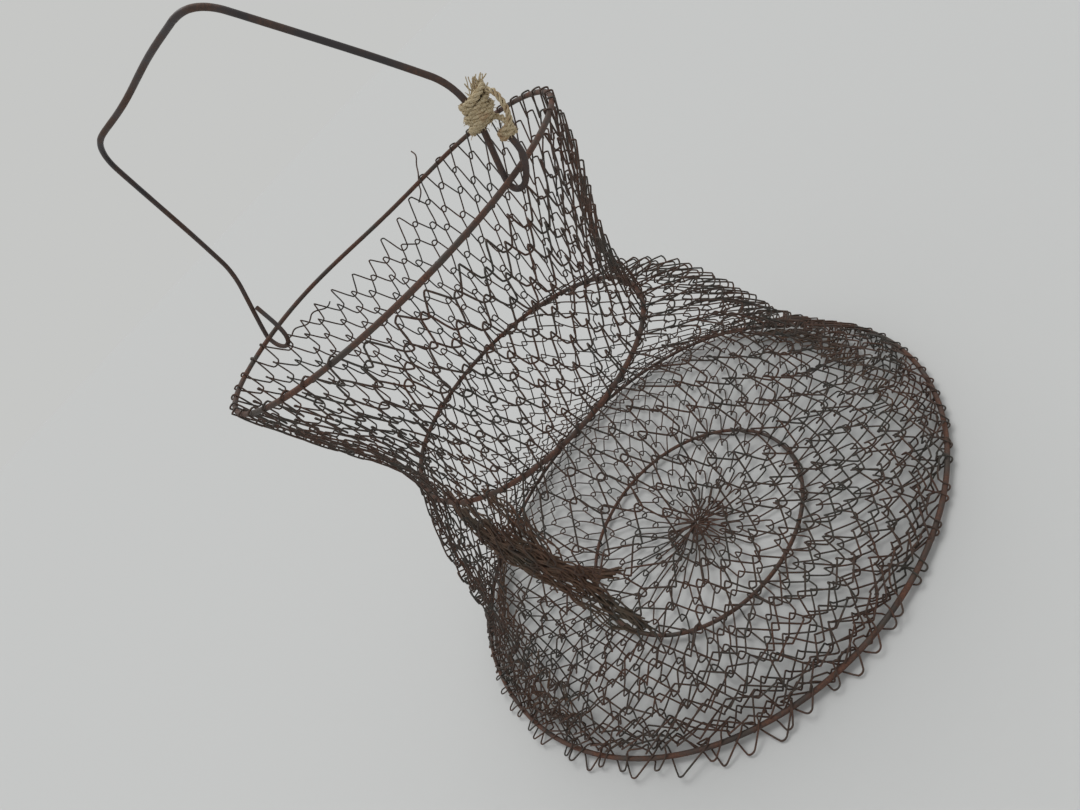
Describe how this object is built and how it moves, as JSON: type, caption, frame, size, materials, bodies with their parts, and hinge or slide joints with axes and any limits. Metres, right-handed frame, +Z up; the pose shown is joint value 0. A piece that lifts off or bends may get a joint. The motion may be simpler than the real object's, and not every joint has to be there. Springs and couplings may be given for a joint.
{
  "type": "collapsible wire minnow basket",
  "caption": "Collapsible wire fish basket: flared chain-link mesh between round hoops, open mouth, wide flat floor and a swinging bent-wire bail.",
  "frame": {"origin": "on the ground under the middle of the base ring", "axes": "+Z up through the mouth, X along the line between the bail's two hooks with the tied hook on +X, -Y the side the bail leans to"},
  "size_m": [0.311, 0.311, 0.349],
  "materials": {
    "hoop_wire": "rusted",
    "mesh_wire": "dull, rusted",
    "bail_wire": "dark, worn",
    "twine": "frayed"
  },
  "bodies": {
    "base": {"base_ring": "hoop_wire", "floor_ring": "hoop_wire", "centre_ring": "hoop_wire", "floor_row_01": "mesh_wire", "floor_row_02": "mesh_wire", "floor_row_03": "mesh_wire", "floor_row_04": "mesh_wire", "floor_row_05": "mesh_wire", "floor_row_06": "mesh_wire", "centre_row_01": "mesh_wire", "centre_row_02": "mesh_wire", "centre_row_03": "mesh_wire", "wall_row_01": "mesh_wire", "wall_row_02": "mesh_wire", "wall_row_03": "mesh_wire", "wall_row_04": "mesh_wire", "wall_row_05": "mesh_wire", "wall_row_06": "mesh_wire", "wall_row_07": "mesh_wire", "wall_row_08": "mesh_wire", "wall_row_09": "mesh_wire", "wall_row_10": "mesh_wire", "wall_row_11": "mesh_wire"},
    "neck": {"neck_ring": "hoop_wire", "sleeve_row_01": "mesh_wire", "sleeve_row_02": "mesh_wire", "sleeve_row_03": "mesh_wire", "sleeve_row_04": "mesh_wire", "sleeve_row_05": "mesh_wire", "sleeve_row_06": "mesh_wire"},
    "rim": {"rim_ring": "hoop_wire"},
    "bail": {"bail": "bail_wire", "twine_tie": "twine"}
  },
  "joints": [
    {"name": "neck_drop", "type": "slide", "parent": "base", "child": "neck", "axis": [0, 0, -1], "range_m": [0, 0.122], "deforming": ["wall_row_01", "wall_row_02", "wall_row_03", "wall_row_04", "wall_row_05", "wall_row_06", "wall_row_07", "wall_row_08", "wall_row_09", "wall_row_10"]},
    {"name": "rim_drop", "type": "slide", "parent": "neck", "child": "rim", "axis": [0, 0, -1], "range_m": [0, 0.093], "deforming": ["sleeve_row_01", "sleeve_row_02", "sleeve_row_03", "sleeve_row_04", "sleeve_row_05", "sleeve_row_06"]},
    {"name": "bail_swing", "type": "hinge", "parent": "rim", "child": "bail", "pos_m": [-0.0095, -0.0275, 0.2359], "axis": [1, 0, 0], "range_deg": [-45, 75]}
  ]
}
